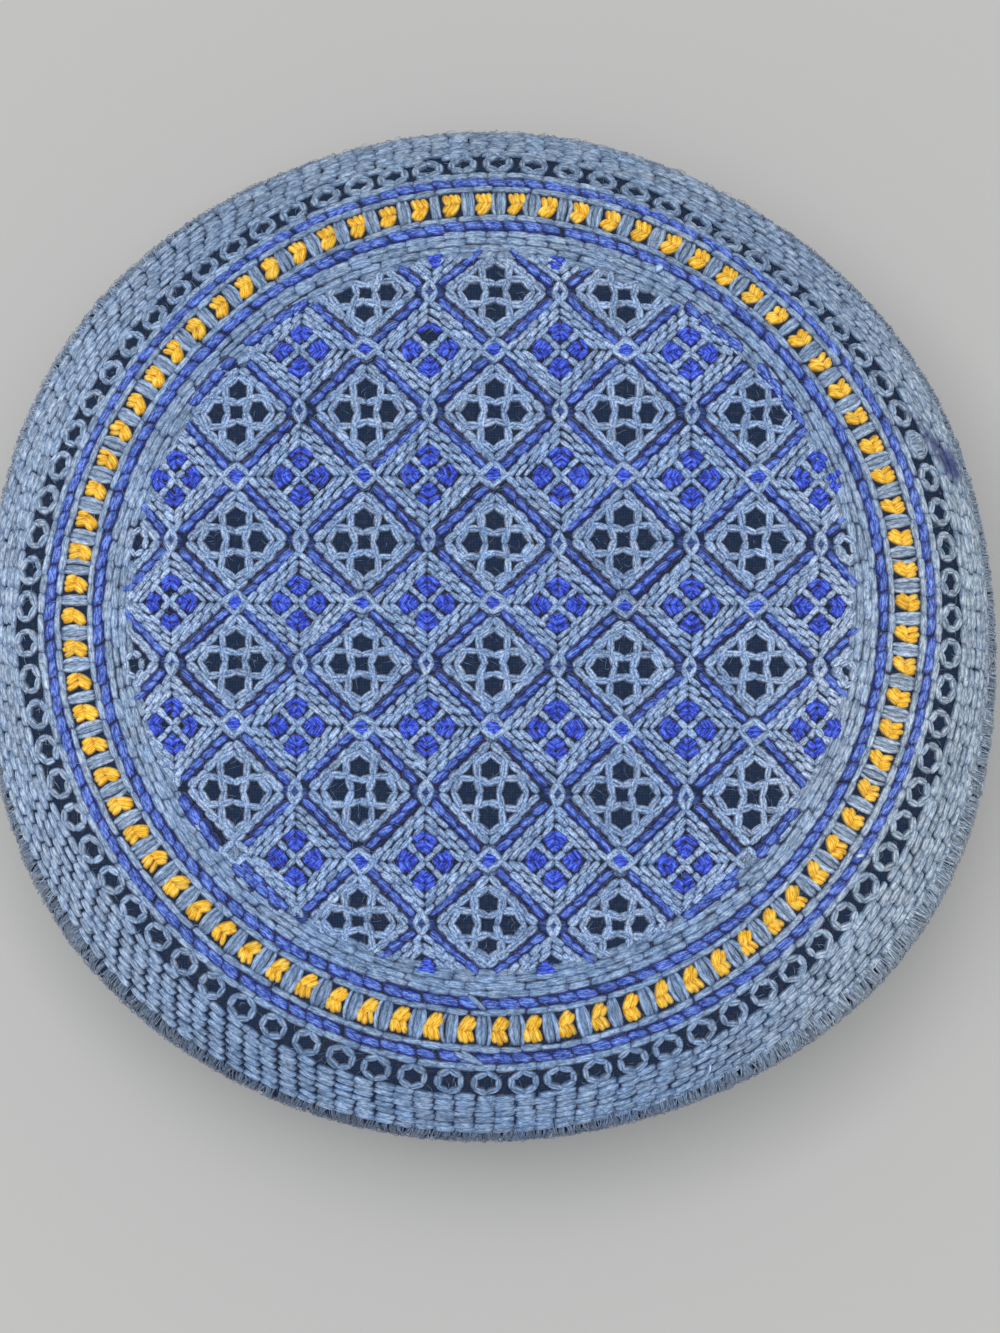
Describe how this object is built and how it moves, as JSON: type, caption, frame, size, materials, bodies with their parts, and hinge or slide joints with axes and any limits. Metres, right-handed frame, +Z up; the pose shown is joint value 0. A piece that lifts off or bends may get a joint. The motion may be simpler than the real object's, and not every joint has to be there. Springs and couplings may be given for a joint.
{
  "type": "prayer cap",
  "caption": "Round embroidered prayer cap with a flat patterned crown, a rolled shoulder, an overcast seam and an upright side band, open below for the head.",
  "frame": {"origin": "on the surface the cap stands on, below the middle of its outline", "axes": "+Z up out of the crown, -Y towards someone who looks down on the cap as the picture does, +X to their right"},
  "size_m": [0.183, 0.1858, 0.08],
  "materials": {
    "ground_cloth": "dark navy woven cotton, matte",
    "slate_thread": "slate-blue embroidery thread, soft sheen",
    "blue_thread": "royal blue embroidery thread, soft sheen",
    "gold_thread": "golden yellow embroidery thread, soft sheen"
  },
  "bodies": {
    "root": {"crown": "slate_thread", "overcast_seam": "slate_thread", "band": "slate_thread"}
  },
  "joints": []
}
